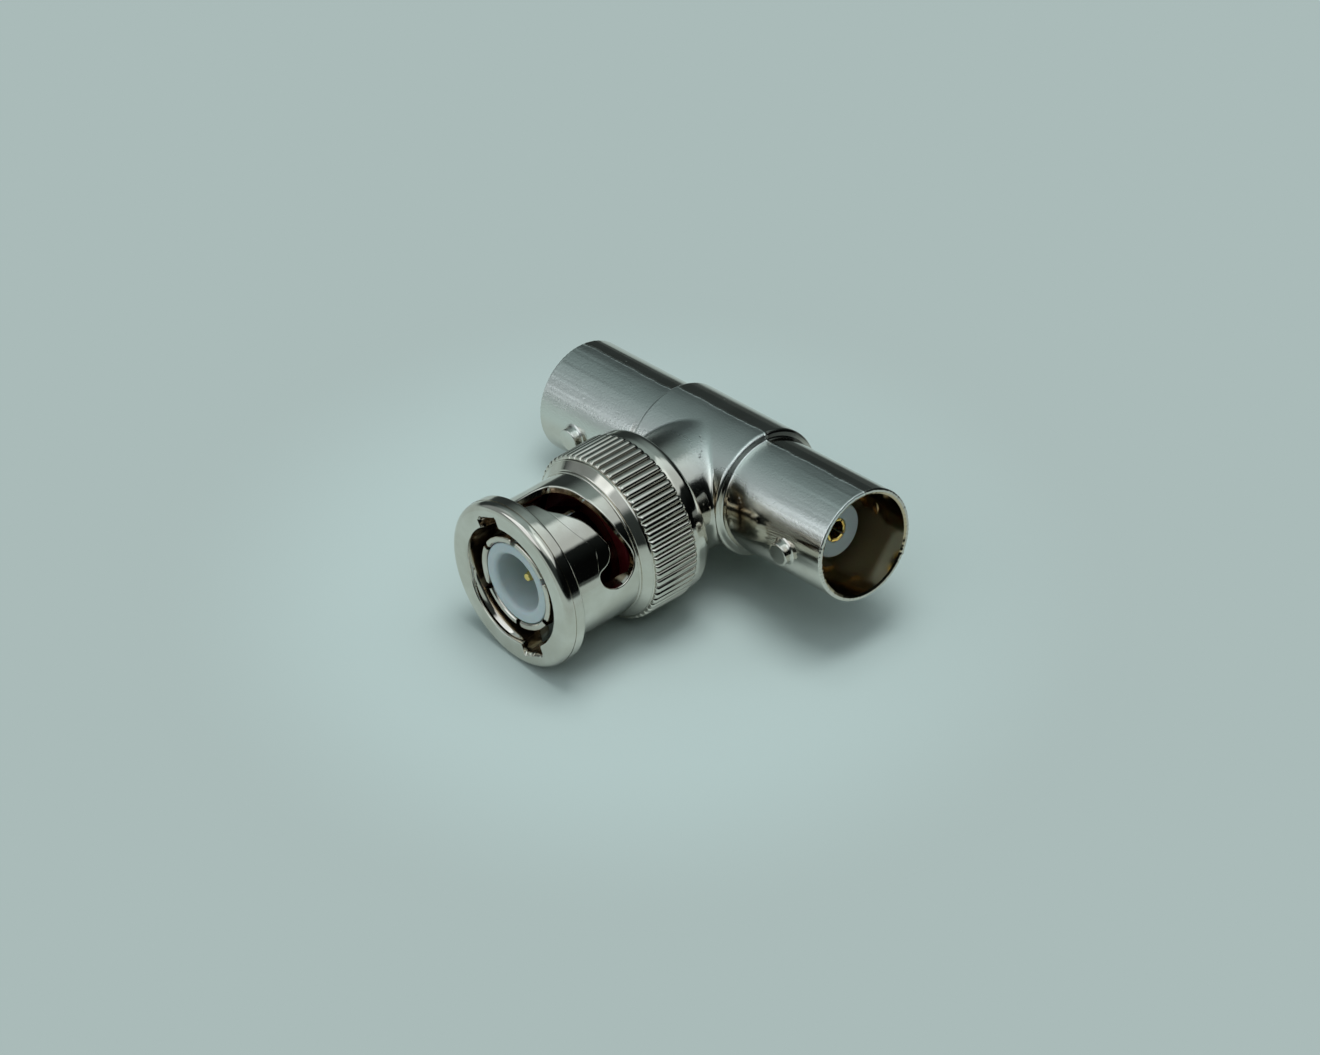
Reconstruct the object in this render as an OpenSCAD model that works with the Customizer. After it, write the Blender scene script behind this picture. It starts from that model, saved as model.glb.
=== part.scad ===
// Bayonet coaxial tee adapter: one plug with a coupling nut, and two jacks on a crossbar.
// The origin is the centre of the plug's reference plane, which is the front face of its slotted
// contact sleeve. +Y runs back along the stem to the crossbar, X runs along the crossbar, +Z is up.

/* [Casting] */
// Length of the crossbar over both jack mouths
crossbar_len = 34.3; // [34:0.1:36]
// Outside diameter of a jack barrel
barrel_d = 9.66; // [9.6:0.01:9.7]
// Diameter of the thicker middle of the crossbar
centre_d = 10.96; // [10.9:0.02:11.2]
// Length of the thicker middle of the crossbar
centre_len = 11.1; // [11:0.1:12]
// Distance from the plug's reference plane back to the crossbar's axis
arm = 22; // [22:0.1:23]
// Diameter of the stem between the coupling nut and the crossbar
stem_d = 10.4; // [10.3:0.02:10.5]
// Diameter of the through bore that holds the insulators
core_bore_d = 6.6; // [6.5:0.05:6.7]

/* [Jacks] */
// Diameter of the jack's mouth
mouth_d = 8.7; // [8.6:0.02:8.8]
// Straight length of the mouth, from the rim's bevel inwards
mouth_len = 2.8; // [2.6:0.1:2.9]
// Diameter of the bore that the plug's tines spring against
contact_bore_d = 8.12; // [8.1:0.01:8.15]
// Depth of a jack from its rim to its shoulder
jack_depth = 8.4; // [8.3:0.1:8.8]
// Diameter of a bayonet stud
stud_d = 2; // [1.91:0.01:2.06]
// Distance over the tips of a pair of studs
over_studs = 11; // [10.97:0.01:11.07]
// Distance from a jack's rim to the middle of its studs
stud_setback = 4.3; // [4.2:0.05:4.7]
// Diameter of the insulator's nose in a jack
nose_d = 4.7; // [4.65:0.01:4.8]
// Distance from a jack's rim to the insulator's face
nose_recess = 3.3; // [3.2:0.1:3.5]

/* [Plug] */
// Outside diameter of the contact sleeve behind its lips
sleeve_d = 7.94; // [7.9:0.02:8]
// Outside diameter over the lips of the tines
lip_d = 8.32; // [8.2:0.02:8.4]
// Number of tines on the contact sleeve
tines = 6; // [4:1:8]
// Width of the slit between two tines
slit_w = 0.5; // [0.3:0.05:0.6]
// Diameter of the insulator's hollow in the plug
hollow_d = 5; // [4.9:0.05:5.2]
// Diameter of the centre pin
pin_d = 1.36; // [1.32:0.01:1.37]
// Distance from the reference plane back to the tip of the pin
pin_recess = 1.2; // [0.8:0.1:1.5]

/* [Coupling nut] */
// Diameter of the nut's flange, and over the ridges of its grip
nut_d = 14.54; // [14.4:0.02:14.6]
// Outside diameter of the nut's plain sleeve
nut_sleeve_d = 12.3; // [12.2:0.02:12.4]
// Bore of the nut round a jack barrel
nut_bore_d = 9.94; // [9.9:0.02:10]
// Number of ridges on the grip
ridges = 60; // [48:2:64]
// Height of a ridge
ridge_h = 0.32; // [0.2:0.02:0.4]
// Width of a slot's seat, which holds a stud
slot_w = 2.2; // [2.1:0.01:2.24]
// Turn from the studs' entries to the seats, in degrees
slot_turn = 104.5; // [100:0.5:106]
// Travel of the nut towards the jack against its wave spring
nut_travel = 0.5; // [0.3:0.05:0.6]

/* [Hidden] */
$fn = 96;
over = 0.05;

// Crossbar, from the middle out
half = crossbar_len / 2;
barrel_r = barrel_d / 2;
centre_r = centre_d / 2;
centre_half = centre_len / 2;
core_r = core_bore_d / 2;
shoulder_x = half - jack_depth;
stud_x = half - stud_setback;
nose_x = half - nose_recess;
rim_bevel = 0.12;
mouth_end_x = half - rim_bevel - mouth_len;
lead_in = 0.5;
edge_r = 0.35;

// Stem, from the crossbar forwards
stem_r = stem_d / 2;
stem_front = 14.75;
spigot_r = 4.5;
spigot_front = 9.4;
sleeve_r = sleeve_d / 2;
sleeve_seat = 13.6;
groove_r = 4.12;
groove_back = 11.3;
ring_t = 0.6;
ring_play = 0.05;

// Parts on the plug
sleeve_bore_r = 3.62;
slit_len = 6.4;
plug_core_r = 3.55;
plug_core_front = 0.1;
hollow_back = 5.5;
plug_core_back = 18;
gasket_front = 7.5;
gasket_r = 5.2;
washer_in_r = 4.56;
washer_out_r = 5.75;
washer_t = 0.4;
thrust_front = groove_back + ring_play;
slip_back = 13.2;
spring_front = thrust_front + washer_t;
spring_back = slip_back - washer_t - 0.02;
spring_t = 0.22;
spring_waves = 3;

// Centre conductor
pin_r = pin_d / 2;
pin_collar_r = 0.95;
pin_tail_r = 0.8;
rod_r = 1.3;
rod_half = 3;
rod_spigot_r = 0.5;
rod_spigot_half = 4.6;
socket_r = 1.02;
socket_bore_r = 0.7;
socket_bore_len = 4.2;
socket_slit_w = 0.16;
core_gap = 1.4;

// Coupling nut, front to back
nut_r = nut_d / 2;
nut_front = -0.55;
flange_back = 1.15;
nut_sleeve_r = nut_sleeve_d / 2;
nut_bore_r = nut_bore_d / 2;
sleeve_back = 7.6;
collar_r = nut_r - ridge_h;
grip_front = 8.75;
grip_back = 13;
nut_back = 14.6;
cavity_front = 8.42;
cavity_r = 5.9;
web_front = slip_back + 0.03;
web_r = spigot_r + 0.07;
relief_r = over_studs / 2 + 0.06;
relief_front = 5.5;
notch_r = over_studs / 2 + 0.35;
notch_w = slot_w + 0.3;
entry_angle = -20;
seat_angle = entry_angle + slot_turn;
slot_start = -18;
channel_end = -1.5;
channel_y = [1.4, 2.8];
crest_angle = 60;
crest_y = 5.7;
seat_y = [5.15, 6.38];
rear_y = [5.55, 7.48];
rear_corner = 8;
slot_steps = 56;

nickel = "silver";
gold = "gold";
ptfe = "white";

// Points along a circular arc from angle a to angle b
function arc(x, y, r, a, b, n = 6) =
    [for (i = [0:n]) let (t = a + (b - a) * i / n) [x + r * cos(t), y + r * sin(t)]];

// Solid of revolution about the Y axis, from points [radius, y]
module turned(points) {
    rotate([-90, 0, 0]) rotate_extrude() polygon(points);
}

// Plain ring or bush about the Y axis
module ring_y(outer, inner, front, back) {
    turned([[inner, front], [outer, front], [outer, back], [inner, back]]);
}

// Solid of revolution about the X axis, from points [radius, x]
module turned_x(points) {
    rotate([0, 90, 0]) rotate_extrude() polygon(points);
}

// Half of the crossbar's outside: the thick middle, its rounded step, and one barrel
module half_crossbar() {
    turned_x(concat(
        [[0, 0], [centre_r, 0]],
        arc(centre_r - edge_r, centre_half - edge_r, edge_r, 0, 70),
        arc(barrel_r + 0.2, centre_half + 0.2, 0.2, 250, 180, 4),
        arc(barrel_r - 0.15, half - 0.15, 0.15, 0, 90, 4),
        [[0, half]]));
}

// The hollow of one jack: bevelled mouth, straight mouth, taper, contact bore and shoulder
module jack_hollow() {
    turned_x([[0, shoulder_x], [contact_bore_d / 2, shoulder_x],
              [contact_bore_d / 2, mouth_end_x - lead_in], [mouth_d / 2, mouth_end_x],
              [mouth_d / 2, half - rim_bevel], [mouth_d / 2 + rim_bevel, half],
              [mouth_d / 2 + rim_bevel, half + 1], [0, half + 1]]);
}

// A pair of bayonet studs on one barrel, with bevelled tips
module studs() {
    tip = 0.2;
    for (side = [-1, 1])
        rotate([side * 90, 0, 0]) {
            cylinder(h = over_studs / 2 - tip, d = stud_d, $fn = 48);
            translate([0, 0, over_studs / 2 - tip])
                cylinder(h = tip, d1 = stud_d, d2 = stud_d - 2 * tip, $fn = 48);
        }
}

// Die casting: crossbar, both barrels with their studs, the stem and its spigot
module tee_body() color(nickel) difference() {
    union() {
        translate([0, arm, 0]) {
            half_crossbar();
            mirror([1, 0, 0]) half_crossbar();
            for (side = [-1, 1]) translate([side * stud_x, 0, 0]) studs();
        }
        ring_y(stem_r, 0, stem_front, arm);
        turned([[0, spigot_front], [spigot_r - 0.15, spigot_front], [spigot_r, spigot_front + 0.15],
                [spigot_r, groove_back - ring_t - ring_play], [groove_r, groove_back - ring_t - ring_play],
                [groove_r, groove_back], [spigot_r, groove_back],
                [spigot_r, stem_front + 1], [0, stem_front + 1]]);
    }
    translate([0, arm, 0]) {
        jack_hollow();
        mirror([1, 0, 0]) jack_hollow();
        rotate([0, 90, 0]) cylinder(h = 2 * half, r = core_r, center = true);
    }
    ring_y(core_r, 0, sleeve_seat - over, arm);
    ring_y(sleeve_r, 0, spigot_front - 1, sleeve_seat);
}

// Outer contact of the plug: a turned sleeve, split into tines with sprung lips
module contact_sleeve() color(nickel) difference() {
    turned([[sleeve_bore_r, 0.12], [sleeve_bore_r + 0.12, 0], [lip_d / 2 - 0.14, 0],
            [lip_d / 2, 0.14], [lip_d / 2, 1.14], [sleeve_r, 2.2], [sleeve_r, sleeve_seat],
            [core_r, sleeve_seat], [core_r, sleeve_seat - 0.4], [sleeve_bore_r, sleeve_seat - 0.4]]);
    for (i = [0:tines - 1])
        rotate([0, 4 + i * 360 / tines, 0])
            translate([-slit_w / 2, -1, 0]) cube([slit_w, slit_len + 1, lip_d]);
}

// Insulator of the plug: a wide rounded hollow in front, the pin's hole behind it
module plug_insulator() color(ptfe) difference() {
    turned(concat(
        arc(hollow_d / 2 + 0.35, plug_core_front + 0.35, 0.35, 180, 270, 5),
        [[plug_core_r - 0.1, plug_core_front], [plug_core_r, plug_core_front + 0.1],
         [plug_core_r, sleeve_seat - 0.4], [core_r, sleeve_seat - 0.4],
         [core_r, plug_core_back], [pin_collar_r, plug_core_back],
         [pin_collar_r, hollow_back], [hollow_d / 2 - 0.4, hollow_back],
         [hollow_d / 2, hollow_back - 0.4]]));
}

// Centre pin: tapered tip, straight pin, a collar inside the insulator and a tail in the rod
module centre_pin() color(gold)
    turned([[0, pin_recess], [0.24, pin_recess], [0.34, pin_recess + 0.1],
            [pin_r, pin_recess + 1.5], [pin_r, hollow_back - 0.2],
            [pin_collar_r, hollow_back - 0.1], [pin_collar_r, arm - rod_r - 0.3],
            [pin_tail_r, arm - rod_r - 0.3], [pin_tail_r, arm], [0, arm]]);

// Soft ring that a mated jack's rim presses on
module sealing_gasket() color("darkred")
    turned([[sleeve_r, gasket_front], [gasket_r - 0.2, gasket_front], [gasket_r, gasket_front + 0.2],
            [gasket_r, spigot_front - 0.15], [gasket_r - 0.15, spigot_front], [sleeve_r, spigot_front]]);

// Open ring snapped into the spigot's groove, which holds the washers and the nut
module retaining_ring() color("gray") difference() {
    ring_y(5.3, groove_r, groove_back - ring_t, groove_back);
    rotate([0, 150, 0]) translate([-2, groove_back - 1, 0]) cube([4, 2, 8]);
}

// Flat washer against the retaining ring
module thrust_washer() color("silver")
    ring_y(washer_out_r, washer_in_r, thrust_front, thrust_front + washer_t);

// Height of the wave spring's mid surface at an angle
function wave_y(a) = (spring_front + spring_back) / 2
    + (spring_back - spring_front - spring_t) / 2 * cos(spring_waves * a);

// Wave spring: a flat ring bent into waves between the two washers
module wave_spring() color("gray") {
    n = 72;
    rad = [washer_in_r + 0.04, washer_out_r - 0.15];
    points = [for (i = [0:n - 1]) let (a = i * 360 / n)
        each [for (c = [[0, -1], [1, -1], [1, 1], [0, 1]])
            [rad[c[0]] * sin(a), wave_y(a) + c[1] * spring_t / 2, rad[c[0]] * cos(a)]]];
    faces = [for (i = [0:n - 1], k = [0:3])
        let (j = (i + 1) % n, m = (k + 1) % 4) [4 * i + k, 4 * i + m, 4 * j + m, 4 * j + k]];
    polyhedron(points, faces, convexity = 6);
}

// Flat washer between the wave spring and the nut's web; it slides with the nut
module slip_washer() color("silver")
    ring_y(washer_out_r, washer_in_r, slip_back - washer_t, slip_back);

// Outside of the nut without its ridges: flange, plain sleeve, bead, collar and rounded back
module nut_outside() {
    turned(concat(
        [[0, nut_front]],
        arc(nut_r - 0.5, nut_front + 0.5, 0.5, 270, 360),
        arc(nut_r - 0.14, flange_back - 0.14, 0.14, 0, 90, 3),
        arc(nut_sleeve_r + 0.12, flange_back + 0.12, 0.12, 270, 180, 3),
        [[nut_sleeve_r, sleeve_back]],
        arc(nut_sleeve_r, sleeve_back + 0.13, 0.13, 270, 90, 6),
        [[nut_sleeve_r + 0.12, sleeve_back + 0.34]],
        arc(nut_sleeve_r + 0.3, sleeve_back + 0.66, 0.14, 260, 180, 4),
        arc(collar_r - 0.45, grip_front - 0.1, 0.45, 290, 360, 6),
        [[collar_r, grip_back], [collar_r + 0.12, grip_back]],
        arc(collar_r + 0.12 - 0.7, nut_back - 0.7, 0.7, 0, 80, 8),
        [[0, nut_back]]));
}

// Cross-section of the grip: straight ridges with rounded tops, round the whole nut
module grip_outline() {
    pitch = 360 / ridges;
    polygon([for (i = [0:ridges - 1])
        each [for (p = [[-0.34, 0], [-0.24, 0.7], [-0.12, 1], [0.12, 1], [0.24, 0.7], [0.34, 0]])
            let (a = (i + p[0]) * pitch, r = collar_r - 0.03 + p[1] * (ridge_h + 0.03))
            [r * cos(a), r * sin(a)]]]);
}

// The ridges, with their front and back ends rounded down to the collar
module grip() intersection() {
    translate([0, grip_front, 0]) rotate([-90, 0, 0])
        linear_extrude(grip_back - grip_front) grip_outline();
    turned(concat(
        [[cavity_r + 0.4, grip_front], [collar_r - 0.05, grip_front]],
        arc(nut_r - 0.34, grip_front + 0.34, 0.34, 290, 360, 4),
        arc(nut_r - 0.3, grip_back - 0.3, 0.3, 0, 80, 4),
        [[cavity_r + 0.4, grip_back]]));
}

// Inside of the nut: bevelled mouth, jack bore, cavity for the washers, bore of the web
module nut_inside() {
    turned([[0, nut_front - 1], [nut_bore_r + 0.4, nut_front - 1], [nut_bore_r + 0.4, nut_front],
            [nut_bore_r, nut_front + 0.4], [nut_bore_r, relief_front],
            [relief_r, relief_front + 0.1], [relief_r, cavity_front], [cavity_r, cavity_front + 0.5],
            [cavity_r, web_front], [web_r, web_front], [web_r, nut_back + 1], [0, nut_back + 1]]);
}

// Share of the way from a to b, eased at both ends
function eased(x, a, b) = let (t = min(max((x - a) / (b - a), 0), 1)) (1 - cos(180 * t)) / 2;

// Half the height of a round end of the slot, at x degrees from its middle
function round_end(x) = let (d = x * PI / 180 * nut_sleeve_r, h = slot_w / 2)
    sqrt(max(h * h - d * d, 0));

// Front edge of a slot, the cam: a channel at the entry, a climb to the crest, then the seat
function front_edge(a) =
    a < channel_end ? channel_y[0]
    : a < crest_angle ? channel_y[1] + (crest_y - channel_y[1])
        * (0.35 * (a - channel_end) / (crest_angle - channel_end) + 0.65 * eased(a, 4, 52))
    : a < seat_angle - 10.2 ? crest_y - 0.9 * pow((a - crest_angle) / (seat_angle - 10.2 - crest_angle), 2)
    : seat_y[0] - round_end(a - seat_angle);

// Rear edge of a slot: a rounded corner at the entry, a gentle climb, and the seat's round end
function rear_edge(a) =
    a < slot_start + rear_corner
        ? rear_y[0] - 1.1 * (1 - sqrt(1 - pow((slot_start + rear_corner - a) / rear_corner, 2)))
    : a < seat_angle - 9 ? rear_y[0] + (rear_y[1] - rear_y[0])
        * (a - slot_start - rear_corner) / (seat_angle - 9 - slot_start - rear_corner)
    : seat_y[1] + round_end(max(a - seat_angle, 0));

// Angles at which a slot's edges are worked out: finer round the seat
function slot_angles() = let (end = slot_w / 2 / nut_sleeve_r * 180 / PI) concat(
    [for (i = [0:slot_steps]) slot_start + (seat_angle - end * 0.999 - slot_start) * i / slot_steps],
    [for (t = [170:-10:0]) seat_angle + end * cos(t)]);

// Cutter for one slot: a band of radial walls between its front and rear edges
module slot_cutter() {
    rad = [nut_bore_r - 0.6, nut_sleeve_r + 0.4];
    angles = slot_angles();
    n = len(angles) - 1;
    points = [for (a = angles) let (y = [front_edge(a), max(rear_edge(a), front_edge(a) + 0.01)])
        each [for (c = [[0, 0], [1, 0], [1, 1], [0, 1]])
            [rad[c[0]] * sin(a), y[c[1]], rad[c[0]] * cos(a)]]];
    faces = concat(
        [[3, 2, 1, 0], [4 * n, 4 * n + 1, 4 * n + 2, 4 * n + 3]],
        [for (i = [0:n - 1], k = [0:3]) let (m = (k + 1) % 4)
            [4 * i + k, 4 * i + m, 4 * i + 4 + m, 4 * i + 4 + k]]);
    polyhedron(points, faces, convexity = 6);
}

// Cutter for an entry: a groove inside the nut, from its mouth back to the relief behind the cam
module entry_cutter() rotate([0, entry_angle, 0]) {
    translate([-notch_w / 2, nut_front - 1, 0]) cube([notch_w, 2.6 - nut_front, notch_r]);
    translate([-notch_w / 2, nut_front - 1, 0]) cube([notch_w, relief_front + 1.3 - nut_front, relief_r]);
}

// Coupling nut: ridged grip, plain sleeve with two bayonet slots, and a flange with two entries
module coupling_nut() color(nickel) difference() {
    union() {
        nut_outside();
        grip();
    }
    nut_inside();
    for (turn = [0, 180]) rotate([0, turn, 0]) {
        slot_cutter();
        entry_cutter();
    }
}

// Rod across the middle, cross-drilled for the pin's tail, with a spigot for each socket
module cross_rod() color(gold) translate([0, arm, 0]) difference() {
    rotate([0, 90, 0]) {
        cylinder(h = 2 * rod_half, r = rod_r, center = true, $fn = 64);
        cylinder(h = 2 * rod_spigot_half, r = rod_spigot_r, center = true, $fn = 32);
    }
    rotate([90, 0, 0]) cylinder(h = 3, r = pin_tail_r, $fn = 48);
}

// Insulator of a jack: the body fills the core bore and the nose stands out into the jack
module jack_insulator() {
    translate([0, arm, 0]) turned_x([
        [rod_r, core_gap], [core_r, core_gap], [core_r, shoulder_x], [nose_d / 2, shoulder_x],
        [nose_d / 2, nose_x - 0.1], [nose_d / 2 - 0.1, nose_x],
        [socket_r, nose_x], [socket_r, rod_half], [rod_r, rod_half]]);
}

module right_insulator() color(ptfe) jack_insulator();

module left_insulator() color(ptfe) mirror([1, 0, 0]) jack_insulator();

// Socket contact of a jack: bevelled mouth, slit bore for the pin, and a hole for the rod's spigot
module jack_socket() {
    translate([0, arm, 0]) difference() {
        turned_x([[rod_spigot_r, rod_half], [socket_r, rod_half], [socket_r, nose_x - 0.1],
                  [socket_r - 0.08, nose_x - 0.02], [socket_bore_r + 0.14, nose_x - 0.02],
                  [socket_bore_r, nose_x - 0.16], [socket_bore_r, nose_x - socket_bore_len],
                  [0, nose_x - socket_bore_len - 0.4], [0, rod_spigot_half],
                  [rod_spigot_r, rod_spigot_half]]);
        for (turn = [45, 135]) rotate([turn, 0, 0])
            translate([nose_x - socket_bore_len + 0.6, -socket_r - over, -socket_slit_w / 2])
                cube([socket_bore_len, 2 * (socket_r + over), socket_slit_w]);
    }
}

module right_socket() color(gold) jack_socket();

module left_socket() color(gold) mirror([1, 0, 0]) jack_socket();

tee_body();
contact_sleeve();
plug_insulator();
centre_pin();
sealing_gasket();
retaining_ring();
thrust_washer();
wave_spring();
slip_washer();
coupling_nut();
cross_rod();
left_insulator();
right_insulator();
left_socket();
right_socket();
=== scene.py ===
import functools
import math

import bmesh
import bpy
import numpy as np
from mathutils import Matrix, Vector

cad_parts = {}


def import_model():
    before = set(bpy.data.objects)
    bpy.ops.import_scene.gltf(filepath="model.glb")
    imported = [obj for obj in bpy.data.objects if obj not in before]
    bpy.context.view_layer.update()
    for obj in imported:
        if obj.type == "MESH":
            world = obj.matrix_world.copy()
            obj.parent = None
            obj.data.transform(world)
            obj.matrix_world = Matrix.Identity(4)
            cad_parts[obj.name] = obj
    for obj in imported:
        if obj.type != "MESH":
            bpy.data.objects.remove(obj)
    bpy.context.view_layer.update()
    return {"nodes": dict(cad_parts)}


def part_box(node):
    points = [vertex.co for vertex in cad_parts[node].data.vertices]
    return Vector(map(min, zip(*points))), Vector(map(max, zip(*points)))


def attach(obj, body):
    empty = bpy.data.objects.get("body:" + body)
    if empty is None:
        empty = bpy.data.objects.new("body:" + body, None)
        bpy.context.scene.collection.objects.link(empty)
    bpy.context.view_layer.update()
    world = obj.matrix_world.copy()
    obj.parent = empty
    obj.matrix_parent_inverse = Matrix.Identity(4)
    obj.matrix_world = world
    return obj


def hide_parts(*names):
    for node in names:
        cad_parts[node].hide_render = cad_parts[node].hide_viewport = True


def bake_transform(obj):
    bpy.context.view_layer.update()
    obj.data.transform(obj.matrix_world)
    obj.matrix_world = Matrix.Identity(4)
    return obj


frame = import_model()

# Sizes are worked in millimetres and angles in degrees; the plug's axis is Y, the crossbar's is X.
MM = 0.001
# How far a straight run's close rows lie from its ends, and the angle past which an edge shades sharp.
END_ROW = 0.02
SHARP = math.radians(38)


def span(node):
    """Lowest and highest corner of a CAD node in millimetres."""
    lo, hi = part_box(node)
    return np.array(lo) / MM, np.array(hi) / MM


nut_lo, nut_hi = span("coupling_nut")
nose_lo, nose_hi = span("right_insulator")

# Crossbar and jacks
HALF, _, CENTRE_R = span("tee_body")[1]
CENTRE_HALF = 5.55
CENTRE_EDGE = 0.35
BARREL_R = 4.83
ARM = (nose_lo[1] + nose_hi[1]) / 2
NOSE_X = nose_hi[0]
SHOULDER_X = HALF - 8.4
CORE_R = 3.3
CONTACT_R = 4.06
MOUTH_R = 4.35
STUD_X = HALF - 4.3
STUD_TIP = 5.5

# Stem, and the sleeve and pin in the plug
STEM_R = 5.2
STEM_FRONT = 14.9
LIP_R = span("contact_sleeve")[1][0]
TINE_R = 3.97
TINE_BORE_R = 3.62

# Coupling nut, front to back
NUT_R = nut_hi[0]
NUT_FRONT = nut_lo[1]
FLANGE_BACK = 1.15
SLEEVE_R = 6.15
BORE_R = 4.97
SLOT_BACK_R = 5.56
COLLAR_R = 6.95
CAVITY_R = 5.9
WEB_Y = 13.23
NECK_R = 4.57
BACK_R = 7.07
BACK_EDGE = 0.7
NUT_BACK = nut_hi[1]


# ---------------------------------------------------------------- profiles

def line(a, b):
    """Straight run from a to b, with a close row just inside each end so that flats shade flat."""
    a, b = np.array(a, float), np.array(b, float)
    e = min(END_ROW / max(np.hypot(*(b - a)), 1e-9), 0.3)
    return np.array([a, a + (b - a) * e, b - (b - a) * e, b])


def arc(x, y, r, start, end, n=8):
    """Circular arc: centre + r * (cos t, sin t) for t from start to end."""
    t = np.radians(np.linspace(start, end, n + 1))
    return np.stack([x + r * np.cos(t), y + r * np.sin(t)], -1)


def joined(*runs):
    """One profile from several runs, without the points that repeat."""
    p = np.concatenate([np.asarray(r, float) for r in runs])
    gap = np.hypot(*np.diff(p, axis=0).T)
    return p[np.concatenate([[True], gap > 1e-5])]


def smooth_curve(points, samples, density=None):
    """Catmull-Rom curve through the points, resampled by length, or by a density along it."""
    p = np.array(points, float)
    q = np.concatenate([[2 * p[0] - p[1]], p, [2 * p[-1] - p[-2]]])
    t = np.linspace(0, 1, 24, endpoint=False)[:, None, None]
    a, b, c, d = q[:-3], q[1:-2], q[2:-1], q[3:]
    run = 0.5 * (2 * b + (c - a) * t + (2 * a - 5 * b + 4 * c - d) * t ** 2
                 + (3 * b - a - 3 * c + d) * t ** 3)
    fine = np.concatenate([run.transpose(1, 0, 2).reshape(-1, 2), p[-1:]])
    scale = np.array([math.radians(SLEEVE_R), 1.0])
    step = np.hypot(*(np.diff(fine, axis=0) * scale).T)
    if density is not None:
        step = step * density((fine[1:] + fine[:-1]) / 2)
    along = np.concatenate([[0], np.cumsum(step)])
    s = np.linspace(0, along[-1], samples)
    return np.stack([np.interp(s, along, fine[:, k]) for k in (0, 1)], -1)


def eased(x, a, b):
    """Smooth step from 0 at a to 1 at b."""
    t = np.clip((x - a) / (b - a), 0, 1)
    return t * t * (3 - 2 * t)


def ramp(a, b, n):
    """S-shaped run from a to b, both (radius, height): the radius eases as the height goes evenly."""
    t = np.linspace(0, 1, n)
    return np.stack([a[0] + (b[0] - a[0]) * eased(t, 0, 1), a[1] + (b[1] - a[1]) * t], -1)


# ---------------------------------------------------------------- surfaces

def quads(rows, cols, keep=None, wrap_rows=False):
    """Faces of a grid numbered row by row, whose columns close on themselves."""
    i = np.arange(rows * cols).reshape(rows, cols)
    i = np.concatenate([i, i[:, :1]], 1)
    if wrap_rows:
        i = np.concatenate([i, i[:1]], 0)
    q = np.stack([i[:-1, :-1], i[:-1, 1:], i[1:, 1:], i[1:, :-1]], -1)
    return q.reshape(-1, 4) if keep is None else q[keep]


def grid(rows, keep=None, wrap_rows=True):
    """Points and faces of a grid of rows."""
    return rows.reshape(-1, 3), quads(*rows.shape[:2], keep, wrap_rows)


def round_y(r, y, angle):
    """Points at radius r and height y round the plug's axis; the angle runs from +Z towards +X."""
    a = np.radians(angle)
    return np.stack(np.broadcast_arrays(r * np.sin(a), y, r * np.cos(a)), -1)


def round_x(r, x, angle):
    """Points at radius r and height x round the crossbar's axis; the angle runs from +Z to the front."""
    a = np.radians(angle)
    return np.stack(np.broadcast_arrays(x, ARM - r * np.sin(a), r * np.cos(a)), -1)


def turned(profile, columns=224, around=round_y, closed=True):
    """A profile (radius, height) carried round an axis."""
    r, h = np.asarray(profile, float).T
    angle = np.arange(columns) * 360 / columns
    return grid(around(r[:, None], h[:, None], angle), wrap_rows=closed)


def walled(outer, inner, keep):
    """Closed wall between two grids, joined along every edge of the kept cells; columns wrap."""
    rows, cols = outer.shape[:2]
    base = rows * cols
    q = quads(rows, cols).reshape(rows - 1, cols, 4)
    none = np.zeros((1, cols), bool)
    sides = ((np.vstack([none, keep[:-1]]), 0, 1), (np.roll(keep, -1, 1), 1, 2),
             (np.vstack([keep[1:], none]), 2, 3), (np.roll(keep, 1, 1), 3, 0))
    walls = [np.stack([e[:, b], e[:, a], e[:, a] + base, e[:, b] + base], -1)
             for near, a, b in sides for e in [q[keep & ~near]]]
    points = np.concatenate([outer.reshape(-1, 3), inner.reshape(-1, 3)])
    return points, np.concatenate([q[keep], q[keep][:, ::-1] + base, *walls])


def piece(name, shells, body, material, nodes):
    """One object from closed shells in millimetres, which stands for the CAD nodes named.

    Doubles are merged and faces turned outwards. body is the name of the body that the piece is attached to;
    any other value is not used, and the piece stays where it is.
    """
    points, faces, count = [], [], 0
    for p, f in shells:
        points.append(p)
        faces.append(f + count)
        count += len(p)
    mesh = bpy.data.meshes.new(name)
    mesh.from_pydata((np.concatenate(points) * MM).tolist(), [], np.concatenate(faces).tolist())
    bm = bmesh.new()
    bm.from_mesh(mesh)
    bmesh.ops.remove_doubles(bm, verts=bm.verts, dist=2e-7)
    bmesh.ops.recalc_face_normals(bm, faces=bm.faces)
    bm.to_mesh(mesh)
    bm.free()
    mesh.shade_smooth()
    mesh.set_sharp_from_angle(angle=SHARP)
    mesh.materials.append(material)
    ob = bpy.data.objects.new(name, mesh)
    bpy.context.scene.collection.objects.link(ob)
    if isinstance(body, str):
        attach(ob, body)
    else:
        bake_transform(ob)
    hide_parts(*nodes)


# ---------------------------------------------------------------- node helpers

def add(tree, kind, inputs=(), **settings):
    """A node with its settings, whose inputs are given as {name: value or socket}."""
    node = tree.nodes.new(kind)
    for key, value in settings.items():
        setattr(node, key, value)
    for key, value in dict(inputs).items():
        if isinstance(value, bpy.types.NodeSocket):
            tree.links.new(value, node.inputs[key])
        else:
            node.inputs[key].default_value = value
    return node


def maths(tree, operation, a, b=0.0, clamp=False):
    """Result of one Math node."""
    return add(tree, "ShaderNodeMath", {0: a, 1: b}, operation=operation, use_clamp=clamp).outputs[0]


def plus(tree, *values):
    """Sum of the values."""
    return functools.reduce(lambda a, b: maths(tree, "ADD", a, b), values)


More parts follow.
